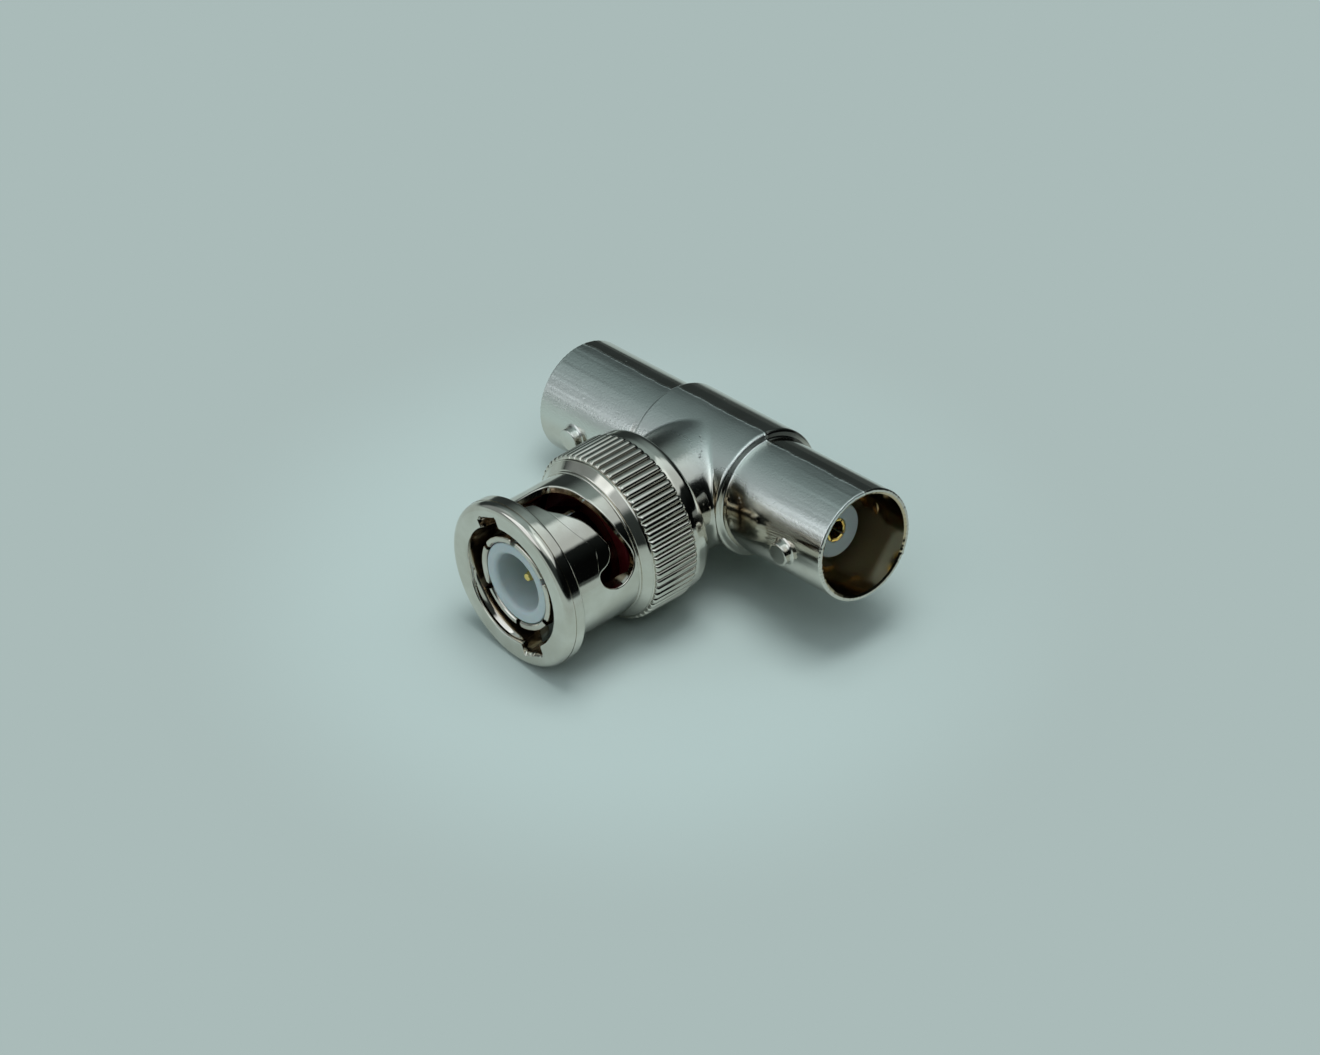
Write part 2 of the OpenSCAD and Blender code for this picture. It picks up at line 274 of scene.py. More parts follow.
def times(tree, *values):
    """Product of the values."""
    return functools.reduce(lambda a, b: maths(tree, "MULTIPLY", a, b), values)


def minus(tree, a, b):
    """a - b."""
    return maths(tree, "SUBTRACT", a, b)


def distance(tree, a, b):
    """Square root of a squared plus b squared."""
    return maths(tree, "SQRT", plus(tree, times(tree, a, a), times(tree, b, b)))


def band(tree, value, low, high, a=0.0, b=1.0):
    """Smooth step of a value from a at low to b at high."""
    inputs = {"Value": value, "From Min": low, "From Max": high, "To Min": a, "To Max": b}
    return add(tree, "ShaderNodeMapRange", inputs, interpolation_type="SMOOTHSTEP").outputs["Result"]


def mix(tree, factor, a, b):
    """Colour a mixed with colour b."""
    n = add(tree, "ShaderNodeMix", {0: factor}, data_type="RGBA")
    for i, value in ((6, a), (7, b)):
        if isinstance(value, bpy.types.NodeSocket):
            tree.links.new(value, n.inputs[i])
        else:
            n.inputs[i].default_value = (*value, 1.0)
    return n.outputs[2]


def dot(tree, a, b):
    """Dot product of two vectors."""
    return add(tree, "ShaderNodeVectorMath", {0: a, 1: b}, operation="DOT_PRODUCT").outputs["Value"]


def position(tree):
    """Object coordinates in millimetres, and their three parts."""
    c = add(tree, "ShaderNodeTexCoord").outputs["Object"]
    p = add(tree, "ShaderNodeVectorMath", {0: c, "Scale": 1000.0}, operation="SCALE").outputs[0]
    return p, *add(tree, "ShaderNodeSeparateXYZ", {0: p}).outputs


def material(name, colour, rough, metallic=1.0):
    """A Principled material and its node tree."""
    m = bpy.data.materials.new(name)
    m.use_nodes = True
    b = m.node_tree.nodes["Principled BSDF"]
    b.inputs["Base Color"].default_value = (*colour, 1.0)
    b.inputs["Roughness"].default_value = rough
    b.inputs["Metallic"].default_value = metallic
    return m, m.node_tree, b


def noise(tree, vector, scale, detail=3.0, rough=0.5):
    """Value of a noise texture."""
    inputs = {"Vector": vector, "Scale": scale, "Detail": detail, "Roughness": rough}
    return add(tree, "ShaderNodeTexNoise", inputs).outputs["Fac"]


def cells(tree, vector, scale):
    """Distance to the middle of the nearest Voronoi cell."""
    return add(tree, "ShaderNodeTexVoronoi", {"Vector": vector, "Scale": scale}).outputs["Distance"]


def group(name, floats, others, outputs):
    """A node group with its sockets, and the nodes for its inputs and outputs."""
    g = bpy.data.node_groups.new(name, "ShaderNodeTree")
    kinds = [("INPUT", label, "Float") for label in floats] + [("INPUT", *o) for o in others]
    for way, label, kind in kinds + [("OUTPUT", *o) for o in outputs]:
        g.interface.new_socket(label, in_out=way, socket_type="NodeSocket" + kind)
    return g, g.nodes.new("NodeGroupInput").outputs, g.nodes.new("NodeGroupOutput").inputs


def placed(tree, tree_group, **values):
    """A node group placed in a tree, its inputs given as values or sockets."""
    n = tree.nodes.new("ShaderNodeGroup")
    n.node_tree = tree_group
    for label, value in values.items():
        if isinstance(value, bpy.types.NodeSocket):
            tree.links.new(value, n.inputs[label])
        else:
            n.inputs[label].default_value = value
    return n.outputs


def plating_group():
    """Nickel plate: cloudy tint, patchy gloss, and the slight waves that the plate follows."""
    g, i, o = group("plating", ("Gloss", "Patch", "Waves", "Grain"), [("Tint", "Color")],
                    [("Color", "Color"), ("Roughness", "Float"), ("Height", "Float")])
    p = position(g)[0]
    cloud = noise(g, p, 0.32, 4.0, 0.55)
    fine = noise(g, p, 2.6, 5.0, 0.6)
    grain = noise(g, p, 14.0, 3.0, 0.6)
    dark = add(g, "ShaderNodeHueSaturation", {"Color": i["Tint"], "Value": 0.86, "Saturation": 1.25})
    g.links.new(mix(g, band(g, cloud, 0.35, 0.7), dark.outputs[0], i["Tint"]), o["Color"])
    patch = times(g, band(g, plus(g, cloud, times(g, fine, 0.4)), 0.55, 0.9), i["Patch"])
    g.links.new(plus(g, i["Gloss"], patch, times(g, grain, 0.03)), o["Roughness"])
    waves = times(g, plus(g, times(g, cloud, 0.6), times(g, fine, 0.06)), i["Waves"])
    speck = band(g, cells(g, p, 0.62), 0.02, 0.055, 1.0, 0.0)
    g.links.new(plus(g, waves, times(g, grain, i["Grain"]), times(g, speck, -0.6)), o["Height"])
    return g


PLATING = plating_group()


def plated(tree, gloss, patch, waves, grain, tint):
    """The plating group placed in a material: its colour, roughness and height."""
    return placed(tree, PLATING, Gloss=gloss, Patch=patch, Waves=waves, Grain=grain, Tint=(*tint, 1))


def bumped(tree, bsdf, height, reach=0.02):
    """The height feeds the normal through a Bump node; one unit of it stands for the reach, in mm."""
    b = add(tree, "ShaderNodeBump", {"Height": height, "Distance": reach * MM, "Strength": 1.0})
    tree.links.new(b.outputs[0], bsdf.inputs["Normal"])


def thin_line(tree, off, width):
    """1 along a line of the given half width, from the distance to it."""
    return band(tree, off, width * 0.3, width, 1.0, 0.0)


def die_line(tree, x, y, z):
    """1 along the fine line round the nut's sleeve, which climbs behind the cam and then falls.

    With s going from 0 to 1 as the turn goes from 8 to 57 degrees, its height is
    3.05 + 1.45 * s ** 2.3, less 0.03 for each degree past 57.
    """
    turn = times(tree, maths(tree, "ARCTAN2", x, z), 180 / math.pi)
    s = maths(tree, "DIVIDE", minus(tree, turn, 8.0), 49.0, clamp=True)
    climb = plus(tree, times(tree, maths(tree, "POWER", s, 2.3), 1.45), 3.05)
    fall = maths(tree, "MAXIMUM", times(tree, minus(tree, turn, 57.0), 0.03), 0.0)
    off = maths(tree, "ABSOLUTE", minus(tree, y, minus(tree, climb, fall)))
    ends = times(tree, band(tree, turn, 6, 14), band(tree, turn, 73, 76, 1.0, 0.0))
    return times(tree, thin_line(tree, off, 0.06), ends)


def nut_nickel():
    """Mirror plate of the coupling nut, with its die line: duller inside, painted darker inside as painted
    shade, and painted near black between the ridges as painted shade.
    """
    m, t, b = material("nut_nickel", (0.7, 0.68, 0.64), 0.1)
    n = plated(t, 0.035, 0.05, 0.6, 0.026, (0.75, 0.71, 0.64))
    _, x, y, z = position(t)
    r = distance(t, x, z)
    # Painted shade: the nut's inner walls, from the mouth back, are painted darker and browner.
    inner = times(t, band(t, r, 5.63, 5.87, 1.0, 0.0), band(t, y, -0.05, 0.12))
    # Painted shade: the valleys between the ridges are painted near black.
    valley_shade = times(t, band(t, r, 6.99, 7.16, 1.0, 0.0), band(t, y, 8.80, 8.95),
                   band(t, y, 12.8, 12.95, 1.0, 0.0))
    inside_shaded = mix(t, inner, n["Color"], (0.44, 0.35, 0.25))
    t.links.new(mix(t, valley_shade, inside_shaded, (0.05, 0.047, 0.042)), b.inputs["Base Color"])
    t.links.new(plus(t, n["Roughness"], times(t, inner, 0.1)), b.inputs["Roughness"])
    bumped(t, b, plus(t, n["Height"], times(t, die_line(t, x, y, z), -0.35)))
    return m


def casting_pits(tree, p, x, y, z):
    """1 in a few small cells that lie within an ellipse on top of the stem."""
    along = minus(tree, y, 18.45)
    across = plus(tree, x, -2.0, along)
    patch = plus(tree, times(tree, across, across, 9.0), times(tree, along, along, 1.4))
    return times(tree, band(tree, cells(tree, p, 3.6), 0.10, 0.30, 1.0, 0.0),
                 band(tree, patch, 0.8, 1.2, 1.0, 0.0), band(tree, z, 3.5, 4.0))


def casting_nickel():
    """Plate of the casting: satin on top and down the barrels, there painted lighter as painted sheen, bright
    below, and painted darker and browner in the jacks' bores as painted shade.

    A broken flash line runs along the top, and a few casting pits lie on the stem.
    """
    m, t, b = material("casting_nickel", (0.7, 0.68, 0.64), 0.15)
    n = plated(t, 0.055, 0.04, 0.45, 0.022, (0.73, 0.69, 0.625))
    p, x, y, z = position(t)
    behind = minus(t, y, ARM)
    # Painted shade: the jacks' bores are painted darker and browner.
    bore = times(t, band(t, distance(t, behind, z), 4.50, 4.57, 1.0, 0.0),
                 band(t, maths(t, "ABSOLUTE", x), SHOULDER_X - 0.4, SHOULDER_X))
    past_seam = plus(t, behind, -0.80, times(t, noise(t, p, 0.5, 3.0), 0.5))
    broken = maths(t, "ADD", times(t, noise(t, p, 3.2, 3.0), 1.3), -0.15, clamp=True)
    seam = times(t, thin_line(t, maths(t, "ABSOLUTE", past_seam), 0.15), band(t, z, 2.0, 3.5), broken)
    lower = plus(t, band(t, x, -7.0, -6.4, 2.8, 0.0), band(t, x, 7.2, 8.0, 0.0, 0.8))
    # The satin finish is real and rough; the same mask also paints the top lighter, which is painted sheen.
    satin_and_sheen = times(t, band(t, plus(t, z, lower), 2.3, 3.9), band(t, y, 15.5, 19.0, 0.25, 1.0),
                  band(t, past_seam, -0.1, 0.25, 1.0, 0.1))
    along_bar = add(t, "ShaderNodeVectorMath", {0: p, 1: (0.45, 8.0, 8.0)}, operation="MULTIPLY")
    brushed = times(t, satin_and_sheen, noise(t, along_bar.outputs[0], 1.0, 4.0, 0.6))
    sand = times(t, satin_and_sheen, noise(t, p, 5.5, 3.0, 0.65))
    # Painted sheen: the satin top is painted a lighter, greener colour.
    colour = mix(t, times(t, satin_and_sheen, 0.85), n["Color"], (0.83, 0.865, 0.835))
    colour = mix(t, times(t, seam, 0.6), colour, (0.86, 0.86, 0.80))
    t.links.new(mix(t, bore, colour, (0.62, 0.50, 0.34)), b.inputs["Base Color"])
    t.links.new(plus(t, n["Roughness"], times(t, satin_and_sheen, 0.19), times(t, brushed, 0.07), times(t, bore, 0.05)),
                b.inputs["Roughness"])
    bumped(t, b, plus(t, n["Height"], times(t, brushed, 0.07), times(t, sand, 1.2), times(t, seam, 4.0),
                      times(t, casting_pits(t, p, x, y, z), -3.2)))
    return m


def turned_nickel():
    """Plate of the tines: their plate colour on the front edges, and painted dark brown further back as
    painted shade inside the nut.
    """
    m, t, b = material("turned_nickel", (0.7, 0.68, 0.64), 0.12)
    n = plated(t, 0.08, 0.04, 0.4, 0.02, (0.72, 0.67, 0.60))
    y = position(t)[2]
    # Painted shade: behind their front edges the tines are painted dark brown.
    t.links.new(mix(t, band(t, y, 0.5, 1.6), n["Color"], (0.27, 0.20, 0.14)), b.inputs["Base Color"])
    t.links.new(n["Roughness"], b.inputs["Roughness"])
    bumped(t, b, n["Height"])
    return m


def plain(name, colour, other, rough, metallic, size, bump, **constants):
    """A material whose colour, gloss and surface vary with one noise."""
    m, t, b = material(name, colour, rough, metallic)
    v = noise(t, position(t)[0], size, 4.0, 0.6)
    t.links.new(mix(t, v, colour, other), b.inputs["Base Color"])
    t.links.new(plus(t, times(t, v, 0.12), rough - 0.06), b.inputs["Roughness"])
    bumped(t, b, v, bump)
    for key, value in constants.items():
        b.inputs[key.replace("_", " ")].default_value = value
    return m


NUT_METAL = nut_nickel()
CASTING_METAL = casting_nickel()
TURNED_METAL = turned_nickel()
WHITE = plain("white_insulator", (0.58, 0.65, 0.67), (0.53, 0.60, 0.62), 0.33, 0.0, 1.2, 0.01,
              Subsurface_Weight=0.25, Subsurface_Scale=0.0008)
GOLD = plain("gold_plate", (0.95, 0.74, 0.26), (0.85, 0.60, 0.18), 0.2, 1.0, 3.0, 0.01)
# Painted shade: the gasket's red is painted very dark, as it lies in shade inside the nut.
RED = plain("red_silicone", (0.105, 0.002, 0.006), (0.06, 0.002, 0.004), 0.5, 0.0, 2.0, 0.02,
            Specular_IOR_Level=0.15)
STEEL = plain("spring_steel", (0.50, 0.49, 0.47), (0.42, 0.41, 0.39), 0.3, 1.0, 4.0, 0.01)


# ---------------------------------------------------------------- hidden pieces

for hidden in ("retaining_ring", "thrust_washer", "slip_washer", "cross_rod"):
    node = frame["nodes"][hidden]
    node.data.materials.clear()
    node.data.materials.append(GOLD if hidden == "cross_rod" else STEEL)


def wave_strip():
    """Strip round the axis whose height is its middle plus a cosine with three waves a turn."""
    front, back = (corner[1] for corner in span("wave_spring"))
    inner_r, outer_r, half = 4.6, 5.6, 0.11
    a = np.arange(0, 360, 2)
    y = (front + back) / 2 + ((back - front) / 2 - half) * np.cos(np.radians(3 * a))
    r = np.array([[inner_r], [outer_r], [outer_r], [inner_r]])
    lift = np.array([[-half], [-half], [half], [half]])
    return grid(round_y(r, y + lift, a))


spring_ends = [(0, corner[1] * MM, 0) for corner in span("wave_spring")]
piece("wave_spring_strip", [wave_strip()], ("tee", "slip", *spring_ends), STEEL,
      ["wave_spring"])


# ---------------------------------------------------------------- coupling nut

# Outline of a bayonet slot on the sleeve, as (angle, height): its front edge is the cam that pulls
# a stud home, with the seat's pocket at its end, and its rear edge climbs gently beside it.
CAM = [(-18, 4.0), (-17.7, 3.2), (-16.8, 2.35), (-15, 1.75), (-12.5, 1.47), (-8, 1.42), (-5, 1.5),
       (-3.3, 1.8), (-2.3, 2.2), (-1.2, 2.6), (0.8, 2.82), (5, 2.92), (10, 3.03), (14, 3.22), (20, 3.76),
       (26, 4.25), (33, 4.75), (39, 5.04), (45, 5.26), (52, 5.48), (57, 5.66), (61, 5.70), (65, 5.62),
       (69, 5.38), (72, 5.08), (73.8, 4.72), (74.8, 4.38), (76.6, 4.08), (80, 3.98), (84.5, 4.10),
       (88, 4.32), (91.4, 4.72), (93.6, 5.12), (94.7, 5.48), (94.9, 5.85)]
REAR = [(-18, 4.0), (-17.6, 4.5), (-16.2, 5.0), (-14, 5.34), (-11, 5.56), (-6, 5.76), (0, 5.95),
        (6, 6.14), (12, 6.25), (18, 6.33), (25, 6.46), (35, 6.64), (45, 6.82), (53, 6.98), (59, 7.13),
        (64, 7.29), (70, 7.46), (75, 7.53), (80, 7.48), (84, 7.36), (87.5, 7.14), (90.5, 6.84),
        (93, 6.48), (94.6, 6.12), (94.9, 5.85)]
# Entry groove: the angle of its middle, half its width, and the angle of its wall on the land,
# which ends where the next slot starts. RIM is the radius of a slot's rounded rim.
GROOVE = -20.0
GROOVE_HALF = 1.25
GROOVE_WALL = 145.9
LAND_END = 162
RIM = 0.13
SLOT_COLUMNS = 170
LAND_COLUMNS = 64


def near_groove(p):
    """Density of columns: up to six times as many where the entry groove's wall crosses."""
    return 1 + 5 * np.exp(-((p[:, 0] + 6.4) / 1.4) ** 2)


def offsets(curve, side):
    """Unit normals of an outline on the unrolled sleeve, pointing into the metal."""
    t = np.gradient(curve * np.array([math.radians(SLEEVE_R), 1.0]), axis=0)
    t /= np.hypot(*t.T)[:, None]
    n = np.stack([t[:, 1], -t[:, 0]], -1) * side
    n[0], n[-1] = (-1, 0), (1, 0)
    return n


def half_turn_columns(outline, side, density=None):
    """Outline, its normals and its rim width at each column of half the nut: a slot, then the land.

    Seven of the land's columns move together, onto the wall of the entry groove. The land's line
    stays level, then drops by a smooth step to the height at which the next slot starts.
    """
    level, drop = 5.85, 1.85
    curve = smooth_curve(outline, SLOT_COLUMNS, density)
    shift = math.degrees(RIM / SLEEVE_R)
    u = np.linspace(0, 1, LAND_COLUMNS + 2)[1:-1]
    a = curve[-1, 0] + shift + u * (LAND_END - shift - curve[-1, 0] - shift)
    wall = GROOVE_WALL + np.array([-1.1, -0.75, -0.4, 0, 0.4, 0.75, 1.1])
    middle = np.abs(a - GROOVE_WALL).argmin()
    a[middle - 3:middle + 4] = wall
    land = np.stack([a, level - drop * eased(a, 150, 160.5)], -1)
    edge = np.concatenate([curve, land])
    normal = np.concatenate([offsets(curve, side), np.zeros_like(land)])
    rim = np.concatenate([np.full(len(curve), RIM), np.zeros(len(land))])
    return edge, normal, rim


def both_halves(edge, normal, rim):
    """The same columns again, half a turn on."""
    edges = np.concatenate([edge, edge + np.array([180.0, 0.0])])
    return edges, np.concatenate([normal, normal]), np.concatenate([rim, rim])


def rim_rows(edge, normal, rim, inner_r):
    """Angle, height and radius of the rows over a slot's rim: a quarter round, then the wall.

    At turn f of the quarter round the point has moved rim * (1 - sin f) into the metal and
    rim * (1 - cos f) down; the wall goes straight down from there to inner_r.
    """
    f = np.radians(np.linspace(0, 90, 6))[:, None]
    move = rim * (1 - np.sin(f))
    a = edge[:, 0] + move * normal[:, 0] / SLEEVE_R * 180 / np.pi
    y = edge[:, 1] + move * normal[:, 1]
    r = SLEEVE_R - rim * (1 - np.cos(f))
    depth = np.array([0.05, 0.3, 0.6, 0.88, 0.97, 1.0])[:, None]
    wall_r = SLEEVE_R - rim + (inner_r - SLEEVE_R + rim) * depth
    wall_a = np.broadcast_to(edge[:, 0], wall_r.shape)
    wall_y = np.broadcast_to(edge[:, 1], wall_r.shape)
    return np.concatenate([a, wall_a]), np.concatenate([y, wall_y]), np.concatenate([r, wall_r])


def slot_cells(rows, wall_rows, rim):
    """Cells to keep: the slot's wall, the last rows, has none along the land."""
    slot = rim > 0
    keep = np.ones(rows.shape[:2], bool)
    keep[len(rows) - wall_rows:-1, ~(slot & np.roll(slot, -1))] = False
    return keep


def groove_r(angle, y, bore):
    """Inner radius of the nut: the bore, opened by two flat-topped entry grooves for the studs.

    A groove's floor is a flat at height h, so its radius is h / cos(d); its sides are flats at
    half its width, so there the radius is half the width / sin(d), with d the angle from the
    groove's middle. Both open out at the face by a flare that dies away as exp(-depth / 0.35), with
    small chips in it, and the floor steps in past the flange.
    """
    d = np.radians((angle - GROOVE + 90) % 180 - 90)
    chips = 0.05 * np.sin(9 * angle) * np.cos(5.3 * angle + 7 * y)
    flare = np.exp(-np.clip(y - NUT_FRONT, 0, None) / 0.35)
    h = SLOT_BACK_R + 0.30 * (1 - eased(y, 2.0, 2.3)) + (0.28 + 1.6 * chips) * flare
    half = GROOVE_HALF + 0.05 * flare + chips * flare
    box = np.minimum(half / np.maximum(np.abs(np.sin(d)), 1e-6), h / np.cos(d))
    return np.maximum(bore, box)


def mouth_radii(base, y):
    """Radius of the nut's mouth at each height, and of its face's inner edge.

    At the lower left the plain mouth gives way to a worn ledge, whose share is
    exp(-(angle from its middle / 31) ** 4).
    """
    ledge_middle = -140
    worn = np.exp(-(((base - ledge_middle + 180) % 360 - 180) / 31) ** 4)
    plain = np.interp(y, [-0.50, -0.40, 0.1, 1.3], [5.29, 5.24, 5.12, BORE_R])[:, None]
    ledge = np.interp(y, [-0.50, -0.46, -0.17, -0.14, 0.04, 0.10, 1.3],
                      [5.46, 5.44, 5.42, 5.37, 5.05, 5.01, BORE_R])[:, None]
    return plain + (ledge - plain) * worn, 5.33 + 0.14 * worn


def nut_front_sheet():
    """Flange, sleeve up to the cam, and the bore, as a closed loop of rows at each column.

    The rows run from the cam's rim down the sleeve, round the flange, in at the mouth, up the bore
    and out along the slot's wall. Away from the slots a column stands at the angle base, which is
    0.93 of its angle at the cam and 0.07 of an even spread.
    """
    edge, normal, rim = both_halves(*half_turn_columns(CAM, 1, near_groove))
    n = len(edge)
    base = 0.93 * edge[:, 0] + 0.07 * (-18 + 360 * np.arange(n) / n)
    over, bore_end, face_steps = 0.14, 1.3, 5
    wall_a, wall_y, wall_r = rim_rows(edge, normal, rim, groove_r(edge[:, 0], edge[:, 1], BORE_R))

    t = np.array([0.04, 0.2, 0.4, 0.6, 0.8, 0.96, 1.0])[:, None]
    sleeve_end = FLANGE_BACK + over
    sleeve = round_y(SLEEVE_R, wall_y[0] + (sleeve_end - wall_y[0]) * t,
                     wall_a[0] + (base - wall_a[0]) * t)

    flange = joined(
        arc(SLEEVE_R + 0.13, sleeve_end, over, 180, 270, 4)[1:] + np.array([0.01, 0]),
        line((SLEEVE_R + 0.15, FLANGE_BACK), (NUT_R - 0.16, FLANGE_BACK)),
        arc(NUT_R - 0.16, 0.99, 0.16, 90, 0, 5),
        [(NUT_R - 0.004, 0.8), (NUT_R, 0.5), (NUT_R - 0.006, 0.2)],
        arc(NUT_R - 0.66, NUT_FRONT + 0.62, 0.64, 15, -84, 14),
        [(6.52, NUT_FRONT), (6.3, NUT_FRONT + 0.004), (6.1, NUT_FRONT + 0.006), (5.9, NUT_FRONT + 0.008),
         (5.72, NUT_FRONT + 0.012), (5.6, NUT_FRONT + 0.02), (5.5, NUT_FRONT + 0.035)])
    mouth_y = np.array([-0.50, -0.46, -0.36, -0.26, -0.17, -0.14, -0.08, -0.02, 0.04, 0.10, 0.5, 0.9,
                        bore_end])
    mouth_r, face_r = mouth_radii(base, mouth_y)
    mouth = round_y(groove_r(base, mouth_y[:, None], mouth_r), mouth_y[:, None], base)
    face_in = groove_r(base, np.full(n, NUT_FRONT + 0.035), face_r)
    even_r = face_r + (6.0 - face_r) * np.array([1, 0.65, 0.3, 0.1, 0])[:, None]
    skin = round_y(flange[:, :1], flange[:, 1:], base)
    skin[-face_steps:] = round_y(
        np.maximum(even_r, face_in + np.array([0.08, 0.05, 0.03, 0.012, 0])[:, None]),
        flange[-face_steps:, 1:], base)

    s = np.array([0.15, 0.35, 0.6, 0.85, 0.97])[:, None]
    in_a = base + (edge[:, 0] - base) * s
    in_y = bore_end + (edge[:, 1] - bore_end) * s
    inside = round_y(groove_r(in_a, in_y, BORE_R), in_y, in_a)
    wall = round_y(wall_r, wall_y, wall_a)[::-1]
    rows = np.concatenate([sleeve, skin, mouth, inside, wall])
    return rows, slot_cells(rows, len(wall), rim)


def nut_rear_sheet():
    """Sleeve behind the slots, bead, collar, rounded back and the cavity, as closed loops of rows.

    The rows run from the slot's rim up the sleeve, over the bead and collar, round the back, down
    the neck and the cavity, and out along the slot's wall. base is 0.7 of a column's angle at the
    slot and 0.3 of an even spread.
    """
    edge, normal, rim = both_halves(*half_turn_columns(REAR, -1))
    n = len(edge)
    base = 0.7 * edge[:, 0] + 0.3 * (-18 + 360 * np.arange(n) / n)
    sleeve_end, cavity_front = 7.7, 8.1
    turn = edge[:, 0] % 180
    slot_r = SLOT_BACK_R - (SLOT_BACK_R - BORE_R) * eased(turn, 88.5, 94.5) * (turn < 100)
    beside_slot = (rim > 0) & (np.abs(turn - LAND_END) > 0.01)
    inner_r = np.where(beside_slot, slot_r, groove_r(edge[:, 0], edge[:, 1], BORE_R))
    wall_a, wall_y, wall_r = rim_rows(edge, normal, rim, inner_r)

    t = np.array([0.06, 0.3, 0.6, 0.9])[:, None]
    sleeve = round_y(SLEEVE_R, wall_y[0] + (sleeve_end - wall_y[0]) * t,
                     wall_a[0] + (base - wall_a[0]) * t)

    profile = joined(
        [(SLEEVE_R, sleeve_end)],
        arc(SLEEVE_R, 7.83, 0.12, -60, 70, 8),
        line((SLEEVE_R + 0.17, 8.0), (6.86, 8.56)),
        arc(COLLAR_R - 0.2, 8.68, 0.2, -42, 0, 6),
        [(COLLAR_R, 8.76), (COLLAR_R, 12.6)],
        ramp((COLLAR_R, 12.7), (BACK_R, 13.4), 8),
        [(BACK_R, 13.5), (BACK_R, 13.7)],
        arc(BACK_R - BACK_EDGE, NUT_BACK - BACK_EDGE, BACK_EDGE, 0, 90, 14),
        line((BACK_R - BACK_EDGE, NUT_BACK), (NECK_R + 0.1, NUT_BACK)),
        arc(NECK_R + 0.1, NUT_BACK - 0.1, 0.1, 90, 180, 4),
        line((NECK_R, NUT_BACK - 0.1), (NECK_R, WEB_Y)),
        line((NECK_R, WEB_Y), (CAVITY_R, WEB_Y)),
        line((CAVITY_R, WEB_Y), (CAVITY_R, 8.92)),
        line((CAVITY_R, 8.92), (SLOT_BACK_R, 8.42)),
        [(SLOT_BACK_R, 8.4), (SLOT_BACK_R, cavity_front)])
    skin = round_y(profile[:, :1], profile[:, 1:], base)

    s = np.array([0.3, 0.6, 0.85])[:, None]
    in_a = base + (edge[:, 0] - base) * s
    in_y = cavity_front + (edge[:, 1] + 0.1 - cavity_front) * s
    inside = round_y(SLOT_BACK_R, in_y, in_a)
    step = round_y(SLOT_BACK_R, edge[:, 1] + 0.06, edge[:, 0])[None]
    wall = round_y(wall_r, wall_y, wall_a)[::-1]
    rows = np.concatenate([sleeve, skin, inside, step, wall])
    return rows, slot_cells(rows, len(wall), rim)


def ridged_grip():
    """Straight ridges round the collar: radius = base + height * wave * share left at the ends.

    With s from -1 to 1 across a ridge, the wave is (sqrt(1 - 0.93 * |s| ** 2.6) - 0.26) / 0.74.
    The ends are rounded in profile and keep 0.12 of the height.
    """
    count, low, high, foot_r = 60, 8.72, 13.02, 6.93
    s = np.sin(np.pi / 2 * np.arange(-7, 7) / 7)
    a = ((np.arange(count)[:, None] + s / 2) * 360 / count).ravel()
    wave = np.tile((np.sqrt(1 - 0.93 * np.abs(s) ** 2.6) - 0.26) / 0.74, count)
    quarter = np.radians([15, 30, 45, 60, 75, 90])
    y = np.concatenate([[low], low + 0.02 + 0.30 * (1 - np.cos(quarter)), [9.1, 12.7],
                        12.74 + 0.28 * np.sin(quarter)])
    end = np.minimum(np.clip((y - low) / 0.32, 0, 1), np.clip((high - y) / 0.30, 0, 1))
    share = 0.12 + 0.88 * np.sqrt(1 - (1 - end) ** 2)
    outside = round_y(foot_r + (NUT_R - foot_r) * wave * share[:, None], y[:, None], a)
    under = round_y(6.75, np.array([high - 0.05, low + 0.05])[:, None], a)
    return grid(np.concatenate([outside, under]))


# Two sheets that meet along the lands between the slots, and the grip.
nut_shells = [grid(*nut_front_sheet()), grid(*nut_rear_sheet()), ridged_grip()]
piece("coupling_nut_skin", nut_shells, "nut", NUT_METAL, ["coupling_nut"])


# ---------------------------------------------------------------- casting

